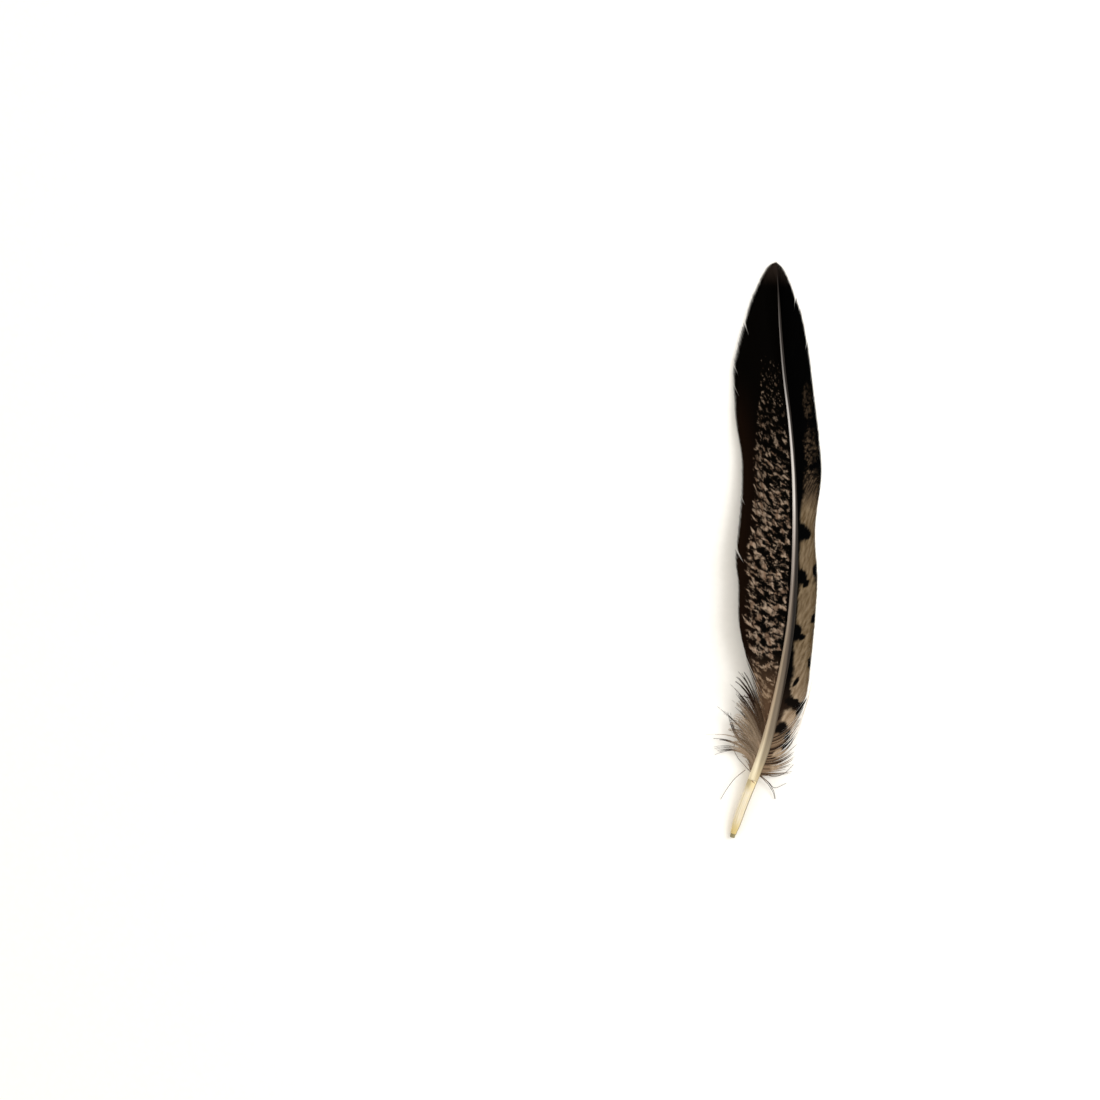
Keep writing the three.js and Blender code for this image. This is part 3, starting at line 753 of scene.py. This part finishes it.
# Long wisps that stand out of the wool: root station, bend (x, station), tip (x, station, height), barbs,
# fluff, how far along a barb its dark tip begins, and how many times as thick its barbs are.
WISPS = [
    (24.6, (1.0, 31.8), (-8.2, 27.5, 1.2), 5, 0.3, 0.5, 1.4),
    (25.2, (0.4, 32.6), (-8.8, 28.9, 1.2), 3, 0.25, 0.5, 1.4),
    (25.8, (0.2, 33.4), (-9.2, 32.3, 1.5), 5, 0.3, 0.55, 1.5),
    (27.6, (1.4, 36.0), (-11.4, 33.7, 2.2), 3, 0.12, 1.6, 1),
    (28.4, (-3.4, 32.6), (-4.4, 42.4, 2.6), 5, 0.45, 0.5, 1),
    (29.9, (0.6, 37.4), (-7.8, 43.3, 2.9), 4, 0.3, 0.5, 1),
    (30.3, (0.8, 37.6), (-6.5, 41.4, 2.7), 2, 0.2, 0.6, 1),
    (31.4, (2.4, 40.6), (-2.4, 43.8, 3.4), 4, 0.3, 0.45, 1),
    (32.2, (2.2, 42.4), (-3.8, 45.8, 3.6), 3, 0.12, 0.6, 1),
    (33.6, (3.0, 43.6), (-3.2, 48.8, 4.2), 4, 0.4, 0.6, 1),
    (34.4, (3.4, 44.6), (-4.3, 50.3, 4.5), 4, 0.45, 0.5, 1),
    (35.5, (3.6, 48.4), (-3.3, 52.2, 5.9), 5, 0.08, 0.05, 2.3),
    (35.9, (3.7, 48.8), (-2.8, 53.7, 6.1), 5, 0.08, 0.05, 2.3),
    (36.3, (3.9, 49.2), (-2.2, 55.6, 6.3), 5, 0.08, 0.05, 2.3),
    (36.6, (4.4, 49.6), (-0.6, 55.8, 6.4), 3, 0.06, 0.1, 2.0),
    (36.9, (5.8, 48.6), (-1.4, 47.3, 6.2), 4, 0.05, 0.1, 2.2),
]
DOWN_BARB_RADII = (0.1, 0.03)
BARBULE_RADII = (0.024, 0.018, 0.004)
DOWN_STEPS = 18
BARBULE_SPACING = 0.2


def curve_through(points, count):
    """Evenly spaced places on a smooth curve through a few points."""
    points = np.array(points, float)
    at = np.linspace(0, 1, len(points))
    t = np.linspace(0, 1, count)
    return np.stack([smooth(list(zip(at, points[:, axis])))(t) for axis in range(3)], -1)


def round_threads(lines, radii):
    """Three-sided closed threads along lines[thread, step, xyz]."""
    along = unit(np.gradient(lines, axis=1))
    across = unit(np.cross(along, (0, 0, 1)))
    up = np.cross(across, along)
    angles = np.array([90, 210, 330]) * np.pi / 180
    offsets = across[:, :, None] * np.cos(angles)[:, None] + up[:, :, None] * np.sin(angles)[:, None]
    return lines[:, :, None] + offsets * radii[..., None, None]


def point_values(bodies, *values):
    """A few numbers for each point of the bodies, as rows: values are spread over body, step and corner."""
    spread = [np.broadcast_to(value, bodies.shape[:3]) for value in values]
    return np.stack(spread, -1).reshape(-1, 3)


def barbules(line, fluff):
    """The fine side hairs of a downy barb, as closed spikes, and how far along the barb each one grows."""
    length = np.linalg.norm(np.diff(line, axis=0), axis=-1).sum()
    count = max(int(length / BARBULE_SPACING * 2), 2)
    t = np.sort(chance.uniform(0.06, 0.99, count))
    index = t * (len(line) - 1)
    low = np.minimum(index.astype(int), len(line) - 2)
    base = lerp(line[low], line[low + 1], (index - low)[:, None])
    along = unit(line[low + 1] - line[low])
    turn = np.where(np.arange(count) % 2 == 0, 1, -1) * chance.uniform(0.3, 0.8, count)
    aside = unit(np.cross(along, (0, 0, 1)))
    lean = chance.normal(0, 0.3, count)
    heading = unit(along * np.cos(turn)[:, None] + aside * np.sin(turn)[:, None]
                   + np.array([0, 0, 1]) * lean[:, None])
    reach = (chance.uniform(0.5, 1.25, count) * fluff * 1.7 * (1 - 0.75 * t))[:, None]
    tip = base + heading * reach + along * 0.4 * reach
    return np.stack([base, base + heading * 0.5 * reach, tip], 1), t


def wool_barbs():
    """The wool's barbs, and for each its reach, its fluff, where its dark tip begins and its thickness."""
    roots = np.linspace(22.2, 38.6, WOOL_BARBS) + chance.normal(0, 0.15, WOOL_BARBS)
    reach = chance.uniform(0.45, 1.04, WOOL_BARBS)
    tips = np.stack([wool_tip_x(roots), wool_tip_y(roots), wool_tip_z(roots)], -1)
    tips = tips + chance.normal(0, 1, tips.shape) * (0.8, 0.8, 0.3)
    starts = np.stack([root_x(TRAILING, roots) + ROOT_SINK, roots, shaft_z(roots) + 0.2], -1)
    bends = lerp(starts, tips, (0.42, 0.5, 0.5))
    bends = bends + chance.normal(0, 1, bends.shape) * (0.5, 0.5, 0.3)
    bends[:, 1] += wool_bow(roots)
    bends[:, 2] += 0.3
    fluff = chance.uniform(0.45, 0.8, WOOL_BARBS)
    dark_from = chance.uniform(0.75, 1.6, WOOL_BARBS)
    return starts, bends, tips, reach, fluff, dark_from, np.ones(WOOL_BARBS)


def wisp_barbs(root, bend, tip, count, fluff, dark_from, thickness):
    """The barbs of one wisp, as of the wool: some reach its tip, and as many shorter ones keep close."""
    total = count * 2
    scatter = 0.12 + 0.7 * fluff
    roots = root + chance.uniform(-0.25, 0.25, total)
    starts = np.stack([root_x(TRAILING, roots) + ROOT_SINK, roots, shaft_z(roots) + 0.2], -1)
    middle = np.array([*bend, lerp(float(shaft_z(root)), tip[2], 0.5) + 0.4])
    bends = middle + chance.normal(0, 1, (total, 3)) * scatter * (1, 1, 0.3)
    tips = np.array(tip) + chance.normal(0, 1, (total, 3)) * scatter * (1, 1, 0.3)
    reach = np.r_[1, chance.uniform(0.82, 1.0, count - 1), chance.uniform(0.5, 0.85, count)]
    same_for_all = [np.full(total, value) for value in (fluff, dark_from, thickness)]
    return starts, bends, tips, reach, *same_for_all


def make_down():
    """The down at the foot of the trailing vane, one piece for each of the part's tufts."""
    bunches = [wool_barbs()] + [wisp_barbs(*wisp) for wisp in WISPS]
    joined = [np.concatenate(values) for values in zip(*bunches)]
    starts, bends, tips, reach, fluff, dark_from, thickness = joined
    along = np.linspace(0, 1, DOWN_STEPS) * reach[:, None]
    t = along[..., None]
    lines = starts[:, None] * (1 - t) ** 2 + bends[:, None] * 2 * t * (1 - t) + tips[:, None] * t**2
    roots = starts[:, 1]
    darker_up = 0.9 * np.clip((roots - 31.5) / 4, 0, 1)
    tone = 0.6 - darker_up + wander(roots, 0.25, (5.3, 2.1)) + chance.normal(0, 0.24, len(roots))
    tone = np.clip(tone, 0, 1)
    tufts = np.searchsorted(TUFT_ENDS, roots)
    for tuft in range(len(TUFT_ENDS) + 1):
        chosen = np.flatnonzero(tufts == tuft)
        radii = thickness[chosen][:, None] * lerp(*DOWN_BARB_RADII, np.linspace(0, 1, DOWN_STEPS))
        barb_bodies = round_threads(lines[chosen], radii)
        spikes, grows_at = zip(*[barbules(lines[i], fluff[i]) for i in chosen])
        owner = np.repeat(chosen, [len(t) for t in grows_at])
        spikes = np.concatenate(spikes)
        spike_bodies = round_threads(spikes, np.broadcast_to(BARBULE_RADII, spikes.shape[:2]))
        points, faces, place = [], [], []
        for bodies, bodies_along, barb in (
            (barb_bodies, along[chosen], chosen),
            (spike_bodies, np.repeat(np.concatenate(grows_at)[:, None], 3, 1), owner),
        ):
            body_points, body_faces = closed_bodies(bodies)
            first = sum(len(chunk) for chunk in points)
            points.append(body_points)
            faces.extend([first + corner for corner in face] for face in body_faces)
            values = (bodies_along[..., None], dark_from[barb][:, None, None], tone[barb][:, None, None])
            place.append(point_values(bodies, *values))
        make_piece(f"down_{tuft + 1}", np.concatenate(points), faces, DOWNY,
                   [f"down_tuft_{tuft + 1}"], {"place": np.concatenate(place)})


# Single hairs at the foot: whether it is pale, then the points that it passes.
HAIRS = [
    (False, [(5.2, 21.6, 2.6), (2.3, 24.3, 2.0), (-0.1, 26.6, 1.7), (-1.5, 29.0, 1.6), (-1.7, 31.2, 1.7)]),
    (False, [(2.6, 22.9, 2.4), (-0.7, 19.7, 2.0), (-3.1, 15.8, 1.2), (-4.8, 12.3, 0.5)]),
    (False, [(7.3, 21.6, 2.4), (10.6, 19.2, 1.8), (12.6, 16.6, 1.1), (13.5, 13.8, 0.5)]),
    (False, [(7.4, 21.4, 2.2), (10.4, 18.8, 1.6), (12.4, 16.2, 1.0), (13.3, 13.9, 0.5)]),
    (False, [(7.6, 21.6, 2.3), (10.6, 19.4, 1.7), (13.0, 17.6, 1.1), (16.7, 19.4, 0.7)]),
    (False, [(8.2, 22.4, 2.5), (12.0, 21.4, 1.9), (15.6, 22.6, 1.4), (18.6, 25.8, 1.0)]),
    (True, [(11.2, 31.0, 3.0), (16.6, 34.2, 2.3), (20.0, 41.0, 1.5), (22.3, 51.2, 1.0)]),
    (True, [(11.8, 34.0, 3.0), (18.0, 37.4, 2.1), (20.6, 43.5, 1.4), (22.1, 49.5, 0.9)]),
    (True, [(13.0, 38.0, 3.1), (19.4, 42.0, 2.0), (21.5, 47.6, 1.3), (22.7, 54.6, 0.9)]),
    (True, [(11.0, 29.0, 2.9), (15.4, 30.6, 2.2), (18.6, 35.4, 1.5), (20.2, 40.6, 1.0)]),
]
HAIR_STEPS = 26


def make_hairs():
    """Loose hairs that curl out below the vanes and along the narrow vane's edge."""
    lines = np.stack([curve_through(points, HAIR_STEPS) for _, points in HAIRS])
    pale = np.array([is_pale for is_pale, _ in HAIRS])
    radii = np.where(pale, 0.5, 1)[:, None] * lerp(0.13, 0.07, np.linspace(0, 1, HAIR_STEPS))
    bodies = round_threads(lines, radii)
    points, faces = closed_bodies(bodies)
    along = np.linspace(0, 1, HAIR_STEPS)[None, :, None]
    dark_from = np.where(pale, 2, 0.2)[:, None, None]
    tone = np.where(pale, 1.6, 0.1)[:, None, None]
    values = {"place": point_values(bodies, along, dark_from, tone)}
    make_piece("loose_hairs", points, faces, DOWNY, [], values)


# ---------------------------------------------------------------------------------------------
# The setting
# ---------------------------------------------------------------------------------------------
VIEW_MIDDLE = (-68.04, 91.03)
VIEW_WIDTH = 366.7
VIEW_TILT = 4.414
CAMERA_HEIGHT = 900
SENSOR = 36
# In metres, as Blender has them.
FLOOR_HALF = 3.0
FLOOR_GAP = 0.00002
LAMP_PLACE = (0.75, 0.35, 0.75)
LAMP_AIM = (0, 0.09, 0)


def make_camera():
    """Straight down, turned a little so that the feather leans to the right as it lies."""
    data = bpy.data.cameras.new("camera")
    data.sensor_width = SENSOR
    data.lens = SENSOR * CAMERA_HEIGHT / VIEW_WIDTH
    data.clip_start = 0.01
    camera = bpy.data.objects.new("camera", data)
    camera.location = (VIEW_MIDDLE[0] * MM, VIEW_MIDDLE[1] * MM, (CAMERA_HEIGHT + 2) * MM)
    camera.rotation_euler = (0, 0, math.radians(VIEW_TILT))
    bpy.context.scene.collection.objects.link(camera)
    bpy.context.scene.camera = camera


def make_floor():
    """A large white sheet just under the part's lowest point."""
    mesh = bpy.data.meshes.new("floor")
    height = cad_box[0][2] - FLOOR_GAP
    ways = [(-1, -1), (1, -1), (1, 1), (-1, 1)]
    corners = [(x * FLOOR_HALF, y * FLOOR_HALF, height) for x, y in ways]
    mesh.from_pydata(corners, [], [(0, 1, 2, 3)])
    floor = bpy.data.objects.new("floor", mesh)
    bpy.context.scene.collection.objects.link(floor)
    white = Finish("white sheet", Roughness=0.9, Specular_IOR_Level=0.1)
    grain = white.noise(white.add("ShaderNodeTexCoord").outputs["Object"], 600, 2.0)
    mesh.materials.append(white.colour(white.mix(grain, rgb(247, 244, 238), rgb(253, 250, 244))))


def make_light():
    """White surroundings, and a broad soft lamp high on the right that throws the shadow to the left."""
    world = bpy.data.worlds.new("studio")
    bpy.context.scene.world = world
    world.use_nodes = True
    world.node_tree.nodes["Background"].inputs[0].default_value = (1, 0.97, 0.92, 1)
    world.node_tree.nodes["Background"].inputs[1].default_value = 1.0
    lamp_data = bpy.data.lights.new("soft lamp", "AREA")
    lamp_data.shape = "DISK"
    lamp_data.size = 0.6
    lamp_data.energy = 6
    lamp_data.color = (0.92, 0.96, 1)
    lamp = bpy.data.objects.new("soft lamp", lamp_data)
    lamp.location = LAMP_PLACE
    aim = np.array(LAMP_AIM) - np.array(lamp.location)
    lamp.rotation_euler = (math.atan2(math.hypot(aim[0], aim[1]), -aim[2]), 0,
                           math.atan2(aim[1], aim[0]) - math.pi / 2)
    bpy.context.scene.collection.objects.link(lamp)
    bpy.context.scene.view_settings.view_transform = "Standard"


make_camera()
make_floor()
make_light()
make_rachis()
make_quill()
finish_inner_nodes()
make_vane(LEADING, BLOTCHED)
make_vane(TRAILING, MOTTLED)
make_down()
make_hairs()
